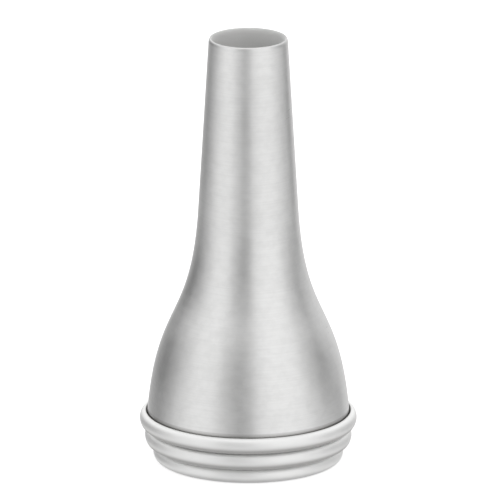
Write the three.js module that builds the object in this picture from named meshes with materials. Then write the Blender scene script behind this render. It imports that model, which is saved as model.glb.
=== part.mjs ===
// Ear speculum: a thin spun funnel, open at both ends, soldered into a turned collar of three beads.
// Millimetres. The funnel's axis is +Z, with the tip up and the origin at the centre of the flat foot.
import * as THREE from 'three';

// Funnel
const overallLength = 36.2;
const tipBoreDiameter = 6;
const shellWall = 0.3;
const lipHeight = 0.4;
const neckLength = 14.2;
const neckHalfAngle = THREE.MathUtils.degToRad(3.45);
const bellDiameter = 16.8;
const bellEdgeAngle = THREE.MathUtils.degToRad(5);
const bellHandleShare = 0.54;
const neckHandleShare = 0.575;

// Collar, with its beads named from the funnel down to the foot
const topBeadDiameter = 18.05;
const topBeadHeight = 1.31;
const middleBeadDiameter = 17.2;
const middleBeadHeight = 1.35;
const footBeadDiameter = 15.8;
const footBeadHeight = 1.2;
const crownDepth = 0.45;
const grooveWidth = 0.15;
const grooveDepth = 0.15;
const collarBoreDiameter = 13.4;
const boreChamfer = 0.2;
const seatDepth = 0.95;

// Joint between funnel and collar
const fitClearance = 0.1;
const solderLeg = 0.55;

// Facets
const turnSteps = 64;
const bellSteps = 16;
const lipSteps = 6;
const crownSteps = 6;
const filletSteps = 3;

// Heights worked out from the foot up
const footBeadTop = footBeadHeight;
const middleBeadBottom = footBeadTop + grooveWidth;
const middleBeadTop = middleBeadBottom + middleBeadHeight;
const topBeadBottom = middleBeadTop + grooveWidth;
const collarTop = topBeadBottom + topBeadHeight;
const ledgeHeight = collarTop - seatDepth;

const satinNickel = { color: 0xb4b5b3, roughness: 0.4, metalness: 1 };
const polishedNickel = { color: 0xd6d7d5, roughness: 0.16, metalness: 1 };
const softSolder = { color: 0x96989a, roughness: 0.5, metalness: 1 };

// Turns a closed section, given as radius and height, about the Z axis.
function turnedMesh(name, section, finish) {
  const geometry = new THREE.LatheGeometry([...section, section[0]], turnSteps);
  geometry.rotateX(Math.PI / 2);
  const mesh = new THREE.Mesh(geometry, new THREE.MeshStandardMaterial(finish));
  mesh.name = name;
  return mesh;
}

// Points on part of an ellipse, from one angle to the other, both ends included.
function ellipsePoints(centre, reach, fromAngle, toAngle, steps) {
  const clockwise = toAngle < fromAngle;
  const arc = new THREE.EllipseCurve(centre.x, centre.y, reach.x, reach.y, fromAngle, toAngle, clockwise);
  return arc.getPoints(steps);
}

// The funnel's outside from the ledge up: straight skirt, S-curved bell and tapered neck.
function funnelOutline() {
  const bellRadius = bellDiameter / 2;
  const lipRadius = tipBoreDiameter / 2 + shellWall;
  const lipBase = overallLength - lipHeight;
  const neckBase = lipBase - neckLength;
  const neckRadius = lipRadius + neckLength * Math.tan(neckHalfAngle);
  const bellHeight = neckBase - collarTop;
  const bellHandle = bellHeight * bellHandleShare;
  const neckHandle = bellHeight * neckHandleShare;

  const outline = new THREE.Path();
  outline.moveTo(bellRadius, ledgeHeight);
  outline.lineTo(bellRadius, collarTop);
  outline.bezierCurveTo(
    bellRadius - bellHandle * Math.tan(bellEdgeAngle), collarTop + bellHandle,
    neckRadius + neckHandle * Math.tan(neckHalfAngle), neckBase - neckHandle,
    neckRadius, neckBase,
  );
  outline.lineTo(lipRadius, lipBase);
  return outline;
}

// Points along an outline, moved off it by a distance to the left of its way.
function pointsBeside(outline, distance) {
  const points = [];
  for (const curve of outline.curves) {
    const steps = curve.isLineCurve ? 1 : bellSteps;
    for (let step = points.length ? 1 : 0; step <= steps; step += 1) {
      const point = curve.getPoint(step / steps);
      const tangent = curve.getTangent(step / steps);
      points.push(new THREE.Vector2(point.x - distance * tangent.y, point.y + distance * tangent.x));
    }
  }
  return points;
}

function makeFunnel() {
  const outline = funnelOutline();
  const outside = pointsBeside(outline, 0);
  const inside = pointsBeside(outline, shellWall).reverse();
  const lipOuter = outside.at(-1);
  const lipMiddle = new THREE.Vector2((lipOuter.x + inside[0].x) / 2, lipOuter.y);
  const lipReach = new THREE.Vector2(lipOuter.x - lipMiddle.x, lipHeight);
  const lip = ellipsePoints(lipMiddle, lipReach, 0, Math.PI, lipSteps).slice(1, -1);
  return turnedMesh('funnel', [...outside, ...lip, ...inside], satinNickel);
}

// The crowned edge of one bead, from its lower corner to its upper one.
function beadPoints(diameter, bottom, height) {
  const centre = new THREE.Vector2(diameter / 2 - crownDepth, bottom + height / 2);
  const reach = new THREE.Vector2(crownDepth, height / 2);
  return ellipsePoints(centre, reach, -Math.PI / 2, Math.PI / 2, crownSteps);
}

// The floor of the groove on top of a bead, cut in below the root of that smaller bead.
function grooveFloor(lowerBeadDiameter, bottom) {
  const floorRadius = lowerBeadDiameter / 2 - crownDepth - grooveDepth;
  return [
    new THREE.Vector2(floorRadius, bottom),
    new THREE.Vector2(floorRadius, bottom + grooveWidth),
  ];
}

function makeCollar() {
  const boreRadius = collarBoreDiameter / 2;
  const seatRadius = bellDiameter / 2 + fitClearance;
  return turnedMesh('collar', [
    ...beadPoints(footBeadDiameter, 0, footBeadHeight),
    ...grooveFloor(footBeadDiameter, footBeadTop),
    ...beadPoints(middleBeadDiameter, middleBeadBottom, middleBeadHeight),
    ...grooveFloor(middleBeadDiameter, middleBeadTop),
    ...beadPoints(topBeadDiameter, topBeadBottom, topBeadHeight),
    new THREE.Vector2(seatRadius, collarTop),
    new THREE.Vector2(seatRadius, ledgeHeight),
    new THREE.Vector2(boreRadius, ledgeHeight),
    new THREE.Vector2(boreRadius, boreChamfer),
    new THREE.Vector2(boreRadius + boreChamfer, 0),
  ], polishedNickel);
}

// A hollow fillet in the corner between the funnel's inner wall and the collar's ledge.
function makeSolderRing() {
  const corner = new THREE.Vector2(bellDiameter / 2 - shellWall - fitClearance, ledgeHeight);
  const centre = new THREE.Vector2(corner.x - solderLeg, ledgeHeight + solderLeg);
  const reach = new THREE.Vector2(solderLeg, solderLeg);
  const hollow = ellipsePoints(centre, reach, 0, -Math.PI / 2, filletSteps);
  return turnedMesh('solder_ring', [corner, ...hollow], softSolder);
}

const earSpeculum = new THREE.Group();
earSpeculum.name = 'ear_speculum';
earSpeculum.add(makeFunnel(), makeCollar(), makeSolderRing());

export default earSpeculum;
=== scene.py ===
"""Ear speculum: a satin funnel soldered into a polished collar of three beads, on a pale floor."""

import math

import bpy
from mathutils import Matrix, Vector


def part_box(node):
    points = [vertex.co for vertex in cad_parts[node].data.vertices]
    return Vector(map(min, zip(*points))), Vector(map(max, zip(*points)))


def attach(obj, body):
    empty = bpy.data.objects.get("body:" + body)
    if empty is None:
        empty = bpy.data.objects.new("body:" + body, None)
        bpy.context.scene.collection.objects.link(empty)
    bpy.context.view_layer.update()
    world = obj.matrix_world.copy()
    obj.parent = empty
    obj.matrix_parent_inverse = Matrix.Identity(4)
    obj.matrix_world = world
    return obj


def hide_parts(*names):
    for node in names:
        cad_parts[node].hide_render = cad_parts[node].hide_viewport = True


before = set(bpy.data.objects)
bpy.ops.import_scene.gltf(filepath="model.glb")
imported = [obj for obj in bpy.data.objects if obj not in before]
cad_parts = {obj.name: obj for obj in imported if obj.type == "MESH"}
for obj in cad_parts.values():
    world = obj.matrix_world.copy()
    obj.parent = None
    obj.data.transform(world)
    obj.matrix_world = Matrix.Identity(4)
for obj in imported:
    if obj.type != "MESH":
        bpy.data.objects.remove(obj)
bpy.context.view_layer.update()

MM = 0.001

# Sizes read from the frame
FUNNEL_LOW, FUNNEL_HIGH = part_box("funnel")
_, COLLAR_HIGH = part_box("collar")
SOLDER_LOW, SOLDER_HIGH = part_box("solder_ring")
TIP_HEIGHT = FUNNEL_HIGH.z
LEDGE_HEIGHT = FUNNEL_LOW.z
BELL_RADIUS = FUNNEL_HIGH.x
COLLAR_TOP = COLLAR_HIGH.z
TOP_BEAD_RADIUS = COLLAR_HIGH.x
SOLDER_RADIUS = SOLDER_HIGH.x
SOLDER_LEG = SOLDER_HIGH.z - SOLDER_LOW.z

# Funnel
TIP_BORE_RADIUS = 3.0 * MM
SHELL_WALL = 0.3 * MM
LIP_HEIGHT = 0.4 * MM
NECK_LENGTH = 14.2 * MM
NECK_HALF_ANGLE = math.radians(3.45)
BELL_EDGE_ANGLE = math.radians(5)
BELL_HANDLE_SHARE = 0.54
NECK_HANDLE_SHARE = 0.575

# Collar: each bead's radius and height, from the foot up
FOOT_BEAD_RADIUS = 7.9 * MM
FOOT_BEAD_HEIGHT = 1.2 * MM
MIDDLE_BEAD_RADIUS = 8.6 * MM
MIDDLE_BEAD_HEIGHT = 1.35 * MM
TOP_BEAD_HEIGHT = 1.31 * MM
CROWN_DEPTH = 0.45 * MM
GROOVE_WIDTH = 0.15 * MM
GROOVE_DEPTH = 0.15 * MM
COLLAR_BORE_RADIUS = 6.7 * MM
BORE_CHAMFER = 0.2 * MM
FIT_CLEARANCE = 0.1 * MM

# Edge breaks and point spacing of the turned sections
EDGE_BREAK = 0.04 * MM
EDGE_BREAK_STEPS = 4
FUNNEL_SPACING = 0.25 * MM
COLLAR_SPACING = 0.07 * MM
SOLDER_SPACING = 0.05 * MM
ARC_STEPS = 24
BELL_STEPS = 96
FUNNEL_TURN_STEPS = 192
COLLAR_TURN_STEPS = 256
SOLDER_TURN_STEPS = 192
SEAM_MERGE = 0.001 * MM

# Painted shade, from 0 on open metal to 1 where the darkest shade is painted: at the seam, deep in
# the bore and in the collar's recesses
SHADE = "shade"
OPEN_METAL = 0.0
SEAM_SHADE = 1.0
LIP_SHADE = 0.6
BORE_MOUTH_SHADE = 0.25
BORE_SHADE = 0.9
SEAT_EDGE_SHADE = 0.6
FOOT_SHADE = 0.35
GROOVE_SHADE = 0.5

# Stops of painted shade at a share of the way up a bead's crown: painted shade on the underside, a
# little at the top edge
CROWN_STOPS = (
    (0, 0.4), (0.2, 0.65), (0.3, 0.65), (0.4, 0.3), (0.5, OPEN_METAL), (0.96, OPEN_METAL),
    (1, 0.35),
)
FOOT_STOPS = (
    (0, 0.35), (0.15, 0.1), (0.25, 0.35), (0.35, 0.3), (0.45, OPEN_METAL), (0.96, OPEN_METAL),
    (1, 0.35),
)
# Painted shade on the funnel's skirt, at a height over the seam
SKIRT_STOPS = ((0, 0.8), (0.3 * MM, 0.62), (0.5 * MM, OPEN_METAL))
# Painted shade at a share of the way over the lip, going inwards: the lip's top is made pale and
# dull, with a little painted shade
LIP_STOPS = ((0, OPEN_METAL), (0.3, OPEN_METAL), (0.5, LIP_SHADE), (1, BORE_MOUTH_SHADE))
# Painted shade at a depth below the lip, inside the funnel: darker the deeper it goes
BORE_STOPS = (
    (0, BORE_MOUTH_SHADE), (0.5 * MM, BORE_MOUTH_SHADE), (1.5 * MM, 0.5),
    (1.85 * MM, BORE_SHADE),
)

# The range that holds nearly all values of a noise, and the ranges over which some marks come in
NOISE_RANGE = (0.3, 0.7)
MOTTLE_RANGE = (0.35, 0.7)
RING_RANGE = (0.35, 0.75)
HAIRLINE_RANGE = (0.55, 0.8)

# Satin nickel: colours, the shares of two of them, roughness and the highlight's stretch
SATIN_DARK = (0.79, 0.79, 0.785)
SATIN_LIGHT = (0.84, 0.84, 0.835)
SATIN_MOTTLE = (0.6, 0.6, 0.595)
SATIN_RING = (0.68, 0.68, 0.675)
SATIN_BORE = (0.9, 0.9, 0.895)
# The colour of the painted shade at the seam, on the lip and deep in the bore
SATIN_SHADED = (0.33, 0.325, 0.315)
MOTTLE_SHARE = 0.2
RING_SHARE = 0.2
SATIN_ROUGHNESS = (0.27, 0.34)
RING_ROUGHNESS = 0.06
BORE_ROUGHNESS = 0.6
SATIN_STRETCH = 0.4
QUARTER_TURN = 0.25

# The painted shade over which the satin skin is painted dark, and heights from which the painted
# shade also marks the pale bore
SATIN_DARK_SHADE = (0.5, 0.9)
BORE_HEIGHTS = (COLLAR_TOP + 1 * MM, COLLAR_TOP + 2 * MM)

# Polished nickel: colours, roughness and the painted shade over which each changes
POLISHED_DARK = (0.9, 0.9, 0.895)
POLISHED_LIGHT = (0.95, 0.95, 0.945)
# The colour of the painted shade under the beads, in the grooves, at the seam and in the bore
POLISHED_SHADED = (0.5, 0.495, 0.485)
POLISHED_ROUGHNESS = (0.48, 0.54)
HAIRLINE_ROUGHNESS = 0.08
SHADED_ROUGHNESS = 0.3
POLISHED_DARK_SHADE = (0.05, 1)
POLISHED_DULL_SHADE = (0.1, 1)

# Soft solder: colours and roughness
SOLDER_DARK = (0.38, 0.38, 0.37)
SOLDER_LIGHT = (0.52, 0.52, 0.51)
SOLDER_ROUGHNESS = (0.36, 0.5)
GRAIN_ROUGHNESS = 0.1

# View: the photograph's frame and what it shows of the speculum
IMAGE_SIDE_PX = 500
IMAGE_MIDDLE_PX = Vector((IMAGE_SIDE_PX / 2, IMAGE_SIDE_PX / 2))
SPECULUM_HEIGHT_PX = 419.0
SPECULUM_MIDDLE_PX = Vector((248.3, 248))
CAMERA_ELEVATION = math.radians(16.2)
LENS_MM = 1200
SENSOR_MM = 36
CLIP_START = 1 * MM
CLIP_END_DISTANCES = 10

# Floor and lamp
FLOOR_RADIUS = 0.6
FLOOR_SIDES = 96
FLOOR_DROP = 0.02 * MM
FLOOR_LEVEL = 0.86
FLOOR_ROUGHNESS = 0.9
FLOOR_GLOW = 0.45
LAMP_SIZE = 0.5
LAMP_POWER = 0.35
LAMP_PLACE = (0, -0.05, 0.6)

# What the metal sees. In each row: degrees round from the camera, positive to its right; brightness
# below the horizon; brightness over it
SURROUND_LEVELS = (
    (-180, 1.15, 1.15), (-168, 0.75, 0.70), (-152, 0.44, 0.28), (-128, 0.28, 0.14),
    (-106, 0.48, 0.38), (-86, 0.82, 0.70), (-68, 1.00, 0.96), (-46, 1.00, 0.98),
    (-26, 0.80, 0.60), (-10, 0.44, 0.33), (0, 0.46, 0.47), (14, 0.78, 0.98),
    (36, 1.00, 1.06), (62, 0.97, 1.02), (84, 0.94, 0.60), (106, 0.70, 0.30),
    (128, 0.26, 0.58), (152, 0.72, 0.76), (168, 0.80, 0.85), (180, 1.15, 1.15),
)
# Degrees over the horizon between which one zone gives way to the next, and the brightness of the
# even zones. The top's edge is counted from a plane that leans back
UNDER_EDGE = (-50, -34)
TABLE_EDGE = (-24, -14)
WALL_EDGE = (-11, -6)
TOP_EDGE = (14, 32)
TOP_LEAN = math.radians(20)
UNDER_LEVEL = 0.5
TABLE_LEVEL = 0.84
TOP_LEVEL = 1.04
WHITE_LEVEL = 1.0

# A colour Mix node's sockets
MIX_FIRST, MIX_SECOND, MIX_RESULT = 6, 7, 2


def corner(radius, height, shade=OPEN_METAL, edge_break=0.0):
    """One corner of a turned section: where it is, its painted shade and how far its edge is broken.
    """
    return {"at": Vector((radius, height)), "shade": shade, "edge_break": edge_break}


def shade_at(place, stops):
    """The painted shade at a place, going evenly from one stop's place and shade to the next one's.
    """
    for (start, before), (end, after) in zip(stops, stops[1:]):
        if place <= end:
            return before + (after - before) * max(0, place - start) / (end - start)
    return stops[-1][1]


def ellipse_corners(centre, reach, start, end, stops=((0, OPEN_METAL), (1, OPEN_METAL))):
    """Corners along part of an ellipse, with the painted shade of the stops."""
    corners = []
    for step in range(ARC_STEPS + 1):
        share = step / ARC_STEPS
        angle = start + (end - start) * share
        corners.append(corner(centre[0] + reach[0] * math.cos(angle),
                              centre[1] + reach[1] * math.sin(angle), shade_at(share, stops)))
    return corners


def broken_edges(corners):
    """The closed section with each edge that has a break turned into a short curve."""
    section = []
    for index, middle in enumerate(corners):
        if not middle["edge_break"]:
            section.append((middle["at"], middle["shade"]))
            continue
        before = corners[index - 1]["at"]
        after = corners[(index + 1) % len(corners)]["at"]
        start = middle["at"] + (before - middle["at"]).normalized() * middle["edge_break"]
        end = middle["at"] + (after - middle["at"]).normalized() * middle["edge_break"]
        for step in range(EDGE_BREAK_STEPS + 1):
            share = step / EDGE_BREAK_STEPS
            rest = 1 - share
            point = start * rest ** 2 + middle["at"] * 2 * share * rest + end * share ** 2
            section.append((point, middle["shade"]))
    return section


def spaced(section, spacing):
    """The closed section with points added so that no stretch is longer than the spacing."""
    points = []
    for index, (start, shade_start) in enumerate(section):
        end, shade_end = section[(index + 1) % len(section)]
        pieces = max(1, math.ceil((end - start).length / spacing))
        for piece in range(pieces):
            share = piece / pieces
            shade = shade_start + (shade_end - shade_start) * share
            points.append((start.lerp(end, share), shade))
    points.append(points[0])
    return points


def funnel_line():
    """Points and directions along the funnel's outside, from the ledge up to the foot of the lip."""
    lip_radius = TIP_BORE_RADIUS + SHELL_WALL
    lip_base = TIP_HEIGHT - LIP_HEIGHT
    neck_base = lip_base - NECK_LENGTH
    neck_radius = lip_radius + NECK_LENGTH * math.tan(NECK_HALF_ANGLE)
    bell_height = neck_base - COLLAR_TOP
    bell_handle = bell_height * BELL_HANDLE_SHARE
    neck_handle = bell_height * NECK_HANDLE_SHARE
    handles = [
        Vector((BELL_RADIUS, COLLAR_TOP)),
        Vector((BELL_RADIUS - bell_handle * math.tan(BELL_EDGE_ANGLE), COLLAR_TOP + bell_handle)),
        Vector((neck_radius + neck_handle * math.tan(NECK_HALF_ANGLE), neck_base - neck_handle)),
        Vector((neck_radius, neck_base)),
    ]
    line = [(Vector((BELL_RADIUS, LEDGE_HEIGHT)), Vector((0, 1)))]
    for step in range(BELL_STEPS + 1):
        share = step / BELL_STEPS
        rest = 1 - share
        point = (handles[0] * rest ** 3 + handles[1] * 3 * rest ** 2 * share
                 + handles[2] * 3 * rest * share ** 2 + handles[3] * share ** 3)
        way = ((handles[1] - handles[0]) * rest ** 2
               + (handles[2] - handles[1]) * 2 * rest * share
               + (handles[3] - handles[2]) * share ** 2)
        line.append((point, way.normalized()))
    line.append((Vector((lip_radius, lip_base)), line[-1][1]))
    return line


def funnel_section():
    """The thin shell: outside up, round lip, inside down, and the rim that stands on the ledge."""
    line = funnel_line()
    mouth, mouth_way = line[-1]
    stop_points = [(mouth - mouth_way * depth, mouth_way) for depth, _ in reversed(BORE_STOPS)]
    # Outside: painted shade on the skirt just over the seam
    outside = [corner(point.x, point.y, shade_at(point.y - COLLAR_TOP, SKIRT_STOPS))
               for point, _ in line]
    # Inside: painted shade that grows with depth below the lip
    inside = [corner(point.x - SHELL_WALL * way.y, point.y + SHELL_WALL * way.x,
                     shade_at(mouth.y - point.y, BORE_STOPS))
              for point, way in reversed(line[:-1] + stop_points)]
    # The edges at the seam carry the darkest painted shade
    outside[0] = corner(*outside[0]["at"], SEAM_SHADE, EDGE_BREAK)
    inside[-1] = corner(*inside[-1]["at"], SEAM_SHADE, EDGE_BREAK)
    lip_middle = (outside[-1]["at"] + inside[0]["at"]) / 2
    lip_reach = ((outside[-1]["at"] - inside[0]["at"]).length / 2, LIP_HEIGHT)
    lip_centre = (lip_middle.x, outside[-1]["at"].y)
    lip = ellipse_corners(lip_centre, lip_reach, 0, math.pi, LIP_STOPS)
    return spaced(broken_edges(outside + lip[1:-1] + inside), FUNNEL_SPACING)


def bead_corners(radius, bottom, height, stops=CROWN_STOPS):
    """One bead's crown: open metal above, painted shade on its underside and a little at its top
    edge.
    """
    centre = (radius - CROWN_DEPTH, bottom + height / 2)
    return ellipse_corners(centre, (CROWN_DEPTH, height / 2), -math.pi / 2, math.pi / 2, stops)


def groove_corners(lower_bead_radius, bottom):
    """The square floor of a groove, cut in below the root of the smaller bead, with painted shade on
    it.
    """
    floor_radius = lower_bead_radius - CROWN_DEPTH - GROOVE_DEPTH
    return [
        corner(floor_radius, bottom, GROOVE_SHADE, EDGE_BREAK),
        corner(floor_radius, bottom + GROOVE_WIDTH, GROOVE_SHADE, EDGE_BREAK),
    ]


def collar_section():
    """Three beads and two grooves outside, the funnel's seat and the bore inside, the foot below."""
    middle_bottom = FOOT_BEAD_HEIGHT + GROOVE_WIDTH
    middle_top = middle_bottom + MIDDLE_BEAD_HEIGHT
    top_bottom = middle_top + GROOVE_WIDTH
    seat_radius = BELL_RADIUS + FIT_CLEARANCE
    corners = [
        *bead_corners(FOOT_BEAD_RADIUS, 0, FOOT_BEAD_HEIGHT, FOOT_STOPS),
        *groove_corners(FOOT_BEAD_RADIUS, FOOT_BEAD_HEIGHT),
        *bead_corners(MIDDLE_BEAD_RADIUS, middle_bottom, MIDDLE_BEAD_HEIGHT),
        *groove_corners(MIDDLE_BEAD_RADIUS, middle_top),
        *bead_corners(TOP_BEAD_RADIUS, top_bottom, TOP_BEAD_HEIGHT),
        # Painted shade at the seat's edge and at the seam below it
        corner(seat_radius, COLLAR_TOP, SEAT_EDGE_SHADE, EDGE_BREAK),
        corner(seat_radius, LEDGE_HEIGHT, SEAM_SHADE),
        # Painted shade in the collar's bore
        corner(COLLAR_BORE_RADIUS, LEDGE_HEIGHT, BORE_SHADE, EDGE_BREAK),
        # Painted shade inside the foot
        corner(COLLAR_BORE_RADIUS, BORE_CHAMFER, FOOT_SHADE, EDGE_BREAK),
        corner(COLLAR_BORE_RADIUS + BORE_CHAMFER, 0, FOOT_SHADE, EDGE_BREAK),
    ]
    return spaced(broken_edges(corners), COLLAR_SPACING)


def solder_section():
    """A hollow fillet of solder, standing on the ledge in the corner inside the funnel."""
    centre = (SOLDER_RADIUS - SOLDER_LEG, LEDGE_HEIGHT + SOLDER_LEG)
    hollow = ellipse_corners(centre, (SOLDER_LEG, SOLDER_LEG), 0, -math.pi / 2)
    return spaced(broken_edges([corner(SOLDER_RADIUS, LEDGE_HEIGHT), *hollow]), SOLDER_SPACING)


def join(tree, source, source_socket, target, target_socket):
    """Links an output of one node to an input of another."""
    tree.links.new(source.outputs[source_socket], target.inputs[target_socket])


def maths(tree, operation, first, second=None):
    """The result of a maths node whose inputs are numbers or (node, socket) pairs."""
    node = tree.nodes.new("ShaderNodeMath")
    node.operation = operation
    for slot, value in enumerate((first, second)):
        if isinstance(value, tuple):
            join(tree, *value, node, slot)
        elif value is not None:
            node.inputs[slot].default_value = value
    return node, 0


def eased(tree, source, from_low, from_high, to_low=0, to_high=1):
    """The source's values from one range taken smoothly to another."""
    node = tree.nodes.new("ShaderNodeMapRange")
    node.interpolation_type = "SMOOTHSTEP"
    for socket, value in zip(("From Min", "From Max", "To Min", "To Max"),
                             (from_low, from_high, to_low, to_high)):
        node.inputs[socket].default_value = value
    join(tree, *source, node, "Value")
    return node, 0


def mixed(tree, share, first, second):
    """A colour between two, each given as red, green and blue or as a (node, socket) pair."""
    node = tree.nodes.new("ShaderNodeMix")
    node.data_type = "RGBA"
    join(tree, *share, node, "Factor")
    for slot, colour in ((MIX_FIRST, first), (MIX_SECOND, second)):
        if len(colour) == 2:
            join(tree, *colour, node, slot)
        else:
            node.inputs[slot].default_value = (*colour, 1)
    return node, MIX_RESULT


def grey(level):
    """A level of brightness as red, green and blue."""
    return (level, level, level)


def sampled(tree, data_type, section, value, row):
    """A value of the section's point that belongs to the row."""
    node = tree.nodes.new("GeometryNodeSampleIndex")
    node.data_type = data_type
    join(tree, *section, node, "Geometry")
    join(tree, *value, node, "Value")
    join(tree, *row, node, "Index")
    return node, 0


def kept(tree, geometry, value, name, data_type, domain):
    """The geometry with a value kept on it under a name."""
    node = tree.nodes.new("GeometryNodeStoreNamedAttribute")
    node.data_type = data_type
    node.domain = domain
    node.inputs["Name"].default_value = name
    join(tree, *geometry, node, "Geometry")
    join(tree, *value, node, "Value")
    return node, 0


def turning_tree():
    """Geometry nodes that turn a section, drawn in the XZ plane, once round the Z axis."""
    tree = bpy.data.node_groups.new("turn_section_round_axis", "GeometryNodeTree")
    for name, in_out, kind in (
        ("Section", "INPUT", "Geometry"),
        ("Turn steps", "INPUT", "Int"),
        ("Full turn", "INPUT", "Float"),
        ("Seam merge distance", "INPUT", "Float"),
        ("Finish", "INPUT", "Material"),
        ("Turned form", "OUTPUT", "Geometry"),
    ):
        tree.interface.new_socket(name=name, in_out=in_out, socket_type="NodeSocket" + kind)
    add = tree.nodes.new
    given = add("NodeGroupInput")
    made = add("NodeGroupOutput")
    section = given, "Section"

    # A flat sheet with a row for each point of the section and a column for each step of the turn
    count = add("GeometryNodeAttributeDomainSize")
    join(tree, *section, count, "Geometry")
    sheet = add("GeometryNodeMeshGrid")
    sheet.inputs["Size X"].default_value = 1
    sheet.inputs["Size Y"].default_value = 1
    join(tree, *maths(tree, "ADD", (given, "Turn steps"), 1), sheet, "Vertices X")
    join(tree, count, "Point Count", sheet, "Vertices Y")

    # Each sheet point's column gives its angle and its row gives its point of the section
    place = add("GeometryNodeInputPosition")
    across = add("ShaderNodeSeparateXYZ")
    join(tree, place, 0, across, 0)
    turn_share = maths(tree, "ADD", (across, "X"), 0.5)
    angle = maths(tree, "MULTIPLY", turn_share, (given, "Full turn"))
    row_share = maths(tree, "ADD", (across, "Y"), 0.5)
    last_row = maths(tree, "SUBTRACT", (count, "Point Count"), 1)
    row = maths(tree, "ROUND", maths(tree, "MULTIPLY", row_share, last_row))
    shade = add("GeometryNodeInputNamedAttribute")
    shade.data_type = "FLOAT"
    shade.inputs["Name"].default_value = SHADE
    section_point = sampled(tree, "FLOAT_VECTOR", section, (place, 0), row)
    section_shade = sampled(tree, "FLOAT", section, (shade, 0), row)
    turned_point = add("ShaderNodeVectorRotate")
    turned_point.rotation_type = "Z_AXIS"
    join(tree, *section_point, turned_point, "Vector")
    join(tree, *angle, turned_point, "Angle")

    # The flat coordinates and the painted shade are kept on the sheet before it is bent and closed
    mapped = kept(tree, (sheet, "Mesh"), (sheet, "UV Map"), "UVMap", "FLOAT2", "CORNER")
    shade_kept = kept(tree, mapped, section_shade, SHADE, "FLOAT", "POINT")
    bend = add("GeometryNodeSetPosition")
    join(tree, *shade_kept, bend, "Geometry")
    join(tree, turned_point, 0, bend, "Position")
    close = add("GeometryNodeMergeByDistance")
    join(tree, bend, 0, close, "Geometry")
    join(tree, given, "Seam merge distance", close, "Distance")
    smooth = add("GeometryNodeSetShadeSmooth")
    join(tree, close, 0, smooth, "Geometry")
    real = add("GeometryNodeRealizeInstances")
    join(tree, smooth, 0, real, "Geometry")
    coat = add("GeometryNodeSetMaterial")
    join(tree, real, 0, coat, "Geometry")
    join(tree, given, "Finish", coat, "Material")
    join(tree, coat, 0, made, 0)
    return tree


def turned_piece(name, section, turn_steps, tree, finish):
    """A closed solid as a plain mesh: the tree turns the section, which is drawn as points."""
    drawn = bpy.data.meshes.new(name + "_section")
    drawn.from_pydata([(point.x, 0, point.y) for point, _ in section], [], [])
    layer = drawn.attributes.new(SHADE, "FLOAT", "POINT")
    layer.data.foreach_set("value", [shade for _, shade in section])
    piece = bpy.data.objects.new(name, drawn)
    bpy.context.scene.collection.objects.link(piece)

    turning = piece.modifiers.new("turning", "NODES")
    turning.node_group = tree
    values = {
        "Turn steps": turn_steps,
        "Full turn": 2 * math.pi,
        "Seam merge distance": SEAM_MERGE,
        "Finish": finish,
    }
    for item in tree.interface.items_tree:
        if item.in_out == "INPUT" and item.name in values:
            turning[item.identifier] = values[item.name]
    evaluated = piece.evaluated_get(bpy.context.evaluated_depsgraph_get())
    turned = bpy.data.meshes.new_from_object(evaluated)
    piece.modifiers.remove(turning)
    piece.data = turned
    turned.name = name
    return piece


class Finish:
    """A metal's node tree with the few moves that all three finishes share."""

    def __init__(self, name):
        self.material = bpy.data.materials.new(name)
        self.material.use_nodes = True
        self.tree = self.material.node_tree
        self.shader = self.tree.nodes["Principled BSDF"]
        self.shader.inputs["Metallic"].default_value = 1
        self.place = self.tree.nodes.new("ShaderNodeTexCoord")

    def noise(self, pitch, detail=2, roughness=0.5):
        """Noise whose features are as long as the pitch says along X, Y and Z."""
        stretch = self.tree.nodes.new("ShaderNodeMapping")
        stretch.inputs["Scale"].default_value = [1 / length for length in pitch]
        join(self.tree, self.place, "Object", stretch, "Vector")
        noise = self.tree.nodes.new("ShaderNodeTexNoise")
        noise.inputs["Scale"].default_value = 1
        noise.inputs["Detail"].default_value = detail
        noise.inputs["Roughness"].default_value = roughness
        join(self.tree, stretch, 0, noise, "Vector")
        return noise, 0

    def shade(self):
        """The painted shade that the mesh carries."""
        layer = self.tree.nodes.new("ShaderNodeAttribute")
        layer.attribute_name = SHADE
        return layer, "Fac"

    def height(self):
        """Metres over the foot."""
        parts = self.tree.nodes.new("ShaderNodeSeparateXYZ")
        join(self.tree, self.place, "Object", parts, 0)
        return parts, "Z"

    def level(self, source, from_low, from_high, to_low=0, to_high=1):
        """The source's values from one range taken smoothly to another."""
        return eased(self.tree, source, from_low, from_high, to_low, to_high)

    def spread(self, noise, low=0, high=1):
        """A noise taken to the range from low to high."""
        return self.level(noise, *NOISE_RANGE, low, high)

    def blend(self, share, first, second):
        """A colour between two colours."""
        return mixed(self.tree, share, first, second)

    def add(self, first, second):
        """One value added to another."""
        return maths(self.tree, "ADD", first, second)

    def times(self, first, second):
        """One value times another."""
        return maths(self.tree, "MULTIPLY", first, second)

    def bump(self, height, depth, strength, under=None):
        """The surface raised by a noise, over another bump if one is given."""
        node = self.tree.nodes.new("ShaderNodeBump")
        node.inputs["Distance"].default_value = depth
        node.inputs["Strength"].default_value = strength
        join(self.tree, *height, node, "Height")
        if under:
            join(self.tree, *under, node, "Normal")
        return node, 0

    def use(self, socket, source):
        """Links a value to the metal's own shader."""
        join(self.tree, *source, self.shader, socket)


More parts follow.
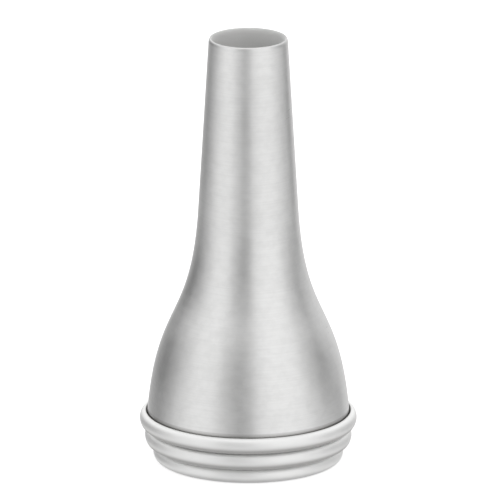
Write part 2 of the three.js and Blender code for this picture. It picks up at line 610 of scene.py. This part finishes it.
def satin_nickel():
    """Plate over spun metal: fine rings, mottled clouds, a pale and dull bore, and painted shade at
    the seam, on the lip and deep in the bore.
    """
    finish = Finish("satin_nickel")
    rings = finish.noise((6 * MM, 6 * MM, 0.09 * MM), detail=3)
    coarse_rings = finish.noise((9 * MM, 9 * MM, 0.5 * MM))
    clouds = finish.noise((5 * MM, 5 * MM, 7 * MM), detail=4)
    mottling = finish.noise((0.9 * MM, 0.9 * MM, 0.7 * MM), roughness=0.6)
    grain = finish.noise((0.12 * MM, 0.12 * MM, 0.12 * MM))
    shade = finish.shade()

    plate = finish.blend(finish.spread(clouds), SATIN_DARK, SATIN_LIGHT)
    mottle = finish.level(mottling, *MOTTLE_RANGE, 0, MOTTLE_SHARE)
    mottled = finish.blend(mottle, plate, SATIN_MOTTLE)
    ringed = finish.blend(finish.level(rings, *RING_RANGE, 0, RING_SHARE), mottled, SATIN_RING)
    in_bore = finish.times(finish.level(finish.height(), *BORE_HEIGHTS),
                           finish.level(shade, OPEN_METAL, BORE_MOUTH_SHADE))
    pale = finish.blend(in_bore, ringed, SATIN_BORE)
    # Painted shade: darker at the seam, a little on the lip's top, and deeper in the bore
    dark = finish.level(shade, *SATIN_DARK_SHADE)
    finish.use("Base Color", finish.blend(dark, pale, SATIN_SHADED))
    wear = finish.add(finish.spread(clouds, *SATIN_ROUGHNESS),
                      finish.spread(rings, 0, RING_ROUGHNESS))
    finish.use("Roughness", finish.add(wear, finish.times(in_bore, BORE_ROUGHNESS)))
    finish.shader.inputs["Anisotropic"].default_value = SATIN_STRETCH
    finish.shader.inputs["Anisotropic Rotation"].default_value = QUARTER_TURN
    ground = finish.bump(rings, depth=0.0028 * MM, strength=0.5)
    spun = finish.bump(coarse_rings, depth=0.004 * MM, strength=0.35, under=ground)
    finish.use("Normal", finish.bump(grain, depth=0.002 * MM, strength=0.3, under=spun))
    return finish.material


def polished_nickel():
    """Plate over a turned ring, with fine tool lines, hairlines and painted shade under the beads
    and in the grooves.
    """
    finish = Finish("polished_nickel")
    tool_lines = finish.noise((8 * MM, 8 * MM, 0.06 * MM))
    hairlines = finish.noise((0.25 * MM, 2.5 * MM, 0.05 * MM), detail=4)
    clouds = finish.noise((3 * MM, 3 * MM, 1.5 * MM), detail=3)
    shade = finish.shade()

    plate = finish.blend(finish.spread(clouds), POLISHED_DARK, POLISHED_LIGHT)
    # Painted shade under the beads, in the grooves, at the seam and in the bore, which are also made
    # duller
    dark = finish.level(shade, *POLISHED_DARK_SHADE)
    finish.use("Base Color", finish.blend(dark, plate, POLISHED_SHADED))
    wear = finish.add(finish.spread(clouds, *POLISHED_ROUGHNESS),
                      finish.level(hairlines, *HAIRLINE_RANGE, 0, HAIRLINE_ROUGHNESS))
    dull = finish.level(shade, *POLISHED_DULL_SHADE, 0, SHADED_ROUGHNESS)
    finish.use("Roughness", finish.add(wear, dull))
    turned = finish.bump(tool_lines, depth=0.002 * MM, strength=0.4)
    finish.use("Normal", finish.bump(hairlines, depth=0.0015 * MM, strength=0.3, under=turned))
    return finish.material


def soft_solder():
    """Dull grey solder, slightly lumpy where it froze."""
    finish = Finish("soft_solder")
    lumps = finish.noise((0.7 * MM, 0.7 * MM, 0.5 * MM), detail=4)
    grain = finish.noise((0.1 * MM, 0.1 * MM, 0.1 * MM), detail=3)
    finish.use("Base Color", finish.blend(finish.spread(lumps), SOLDER_DARK, SOLDER_LIGHT))
    finish.use("Roughness", finish.add(finish.spread(lumps, *SOLDER_ROUGHNESS),
                                       finish.spread(grain, 0, GRAIN_ROUGHNESS)))
    frozen = finish.bump(lumps, depth=0.03 * MM, strength=0.6)
    finish.use("Normal", finish.bump(grain, depth=0.004 * MM, strength=0.4, under=frozen))
    return finish.material


def make_speculum():
    """The three pieces, each of which rides on the root and replaces its solid."""
    tree = turning_tree()
    satin = satin_nickel()
    polish = polished_nickel()
    solder = soft_solder()
    pieces = (
        ("spun_funnel", "funnel", funnel_section(), FUNNEL_TURN_STEPS, satin, "satin_nickel"),
        ("beaded_collar", "collar", collar_section(), COLLAR_TURN_STEPS, polish, "polished_nickel"),
        ("solder_fillet", "solder_ring", solder_section(), SOLDER_TURN_STEPS, solder, "soft_solder"),
    )
    for name, node, section, turn_steps, finish, slot in pieces:
        piece = turned_piece(name, section, turn_steps, tree, finish)
        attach(piece, "root")
        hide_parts(node)


def make_floor():
    """A pale disc under the foot. The camera sees it nearly white, with a soft shadow."""
    angles = [2 * math.pi * side / FLOOR_SIDES for side in range(FLOOR_SIDES)]
    rim = [(FLOOR_RADIUS * math.cos(angle), FLOOR_RADIUS * math.sin(angle), -FLOOR_DROP)
           for angle in angles]
    mesh = bpy.data.meshes.new("floor")
    mesh.from_pydata(rim, [], [tuple(range(FLOOR_SIDES))])
    floor = bpy.data.objects.new("floor", mesh)
    bpy.context.scene.collection.objects.link(floor)

    material = bpy.data.materials.new("pale_floor")
    material.use_nodes = True
    tree = material.node_tree
    shader = tree.nodes["Principled BSDF"]
    shader.inputs["Base Color"].default_value = (*grey(FLOOR_LEVEL), 1)
    shader.inputs["Roughness"].default_value = FLOOR_ROUGHNESS
    shader.inputs["Emission Color"].default_value = (*grey(WHITE_LEVEL), 1)
    light_path = tree.nodes.new("ShaderNodeLightPath")
    glow = maths(tree, "MULTIPLY", (light_path, "Is Camera Ray"), FLOOR_GLOW)
    join(tree, *glow, shader, "Emission Strength")
    mesh.materials.append(material)
    floor.visible_glossy = False


def surround_ramp(tree, share, levels):
    """Brightness at a share of the way round, eased between levels at degrees from the camera."""
    ramp = tree.nodes.new("ShaderNodeValToRGB")
    ramp.color_ramp.interpolation = "EASE"
    join(tree, *share, ramp, "Fac")
    points = ramp.color_ramp.elements
    while len(points) > 1:
        points.remove(points[-1])
    points[0].position = 0
    for degrees, _ in levels[1:]:
        points.new((degrees + 180) / 360)
    for point, (_, level) in zip(points, levels):
        point.color = (*grey(level), 1)
    return ramp, "Color"


def zones(tree, height, edge, lower, upper):
    """One zone below the edge and another over it. The edge is in degrees, the height a sine."""
    sines = [math.sin(math.radians(degrees)) for degrees in edge]
    return mixed(tree, eased(tree, height, *sines), lower, upper)


def make_surround():
    """White to the camera. The metal sees soft lights, a dim room between them and a bright top."""
    world = bpy.data.worlds.new("studio_surround")
    bpy.context.scene.world = world
    world.use_nodes = True
    tree = world.node_tree
    direction = tree.nodes.new("ShaderNodeTexCoord")
    parts = tree.nodes.new("ShaderNodeSeparateXYZ")
    join(tree, direction, "Generated", parts, 0)
    away = maths(tree, "MULTIPLY", (parts, "Y"), -1)
    azimuth = maths(tree, "ARCTAN2", (parts, "X"), away)
    share = maths(tree, "ADD", maths(tree, "DIVIDE", azimuth, 2 * math.pi), 0.5)
    height = parts, "Z"

    low = surround_ramp(tree, share, [(degrees, under) for degrees, under, _ in SURROUND_LEVELS])
    high = surround_ramp(tree, share, [(degrees, over) for degrees, _, over in SURROUND_LEVELS])
    table = zones(tree, height, TABLE_EDGE, grey(TABLE_LEVEL), low)
    lower = zones(tree, height, UNDER_EDGE, grey(UNDER_LEVEL), table)
    walls = zones(tree, height, WALL_EDGE, lower, high)
    top_lift = maths(tree, "MULTIPLY", height, math.cos(TOP_LEAN))
    top_reach = maths(tree, "MULTIPLY", (parts, "Y"), math.sin(TOP_LEAN))
    top_height = maths(tree, "ADD", top_lift, top_reach)
    whole = zones(tree, top_height, TOP_EDGE, walls, grey(TOP_LEVEL))

    light_path = tree.nodes.new("ShaderNodeLightPath")
    seen = mixed(tree, (light_path, "Is Camera Ray"), whole, grey(WHITE_LEVEL))
    join(tree, *seen, tree.nodes["Background"], "Color")


def make_top_light():
    """One large soft lamp overhead, for the shadow at the foot."""
    lamp = bpy.data.lights.new("top_light", "AREA")
    lamp.shape = "DISK"
    lamp.size = LAMP_SIZE
    lamp.energy = LAMP_POWER
    holder = bpy.data.objects.new("top_light", lamp)
    holder.location = LAMP_PLACE
    holder.visible_glossy = False
    bpy.context.scene.collection.objects.link(holder)


def make_camera():
    """A long lens, a little above the speculum, that shows it as the photograph does."""
    data = bpy.data.cameras.new("camera")
    data.lens = LENS_MM
    data.sensor_width = SENSOR_MM
    camera = bpy.data.objects.new("camera", data)
    bpy.context.scene.collection.objects.link(camera)
    bpy.context.scene.camera = camera

    pixel = TIP_HEIGHT * math.cos(CAMERA_ELEVATION) / SPECULUM_HEIGHT_PX
    distance = pixel * IMAGE_SIDE_PX * LENS_MM / SENSOR_MM
    back = Vector((0, -math.cos(CAMERA_ELEVATION), math.sin(CAMERA_ELEVATION)))
    turn = (-back).to_track_quat("-Z", "Y").to_matrix()
    offset = (SPECULUM_MIDDLE_PX - IMAGE_MIDDLE_PX) * pixel
    aim = Vector((0, 0, TIP_HEIGHT / 2)) - turn @ Vector((offset.x, -offset.y, 0))
    camera.matrix_world = Matrix.Translation(aim + back * distance) @ turn.to_4x4()
    data.clip_start = CLIP_START
    data.clip_end = distance * CLIP_END_DISTANCES


make_camera()
make_speculum()
make_floor()
make_surround()
make_top_light()
bpy.context.scene.view_settings.view_transform = "Standard"
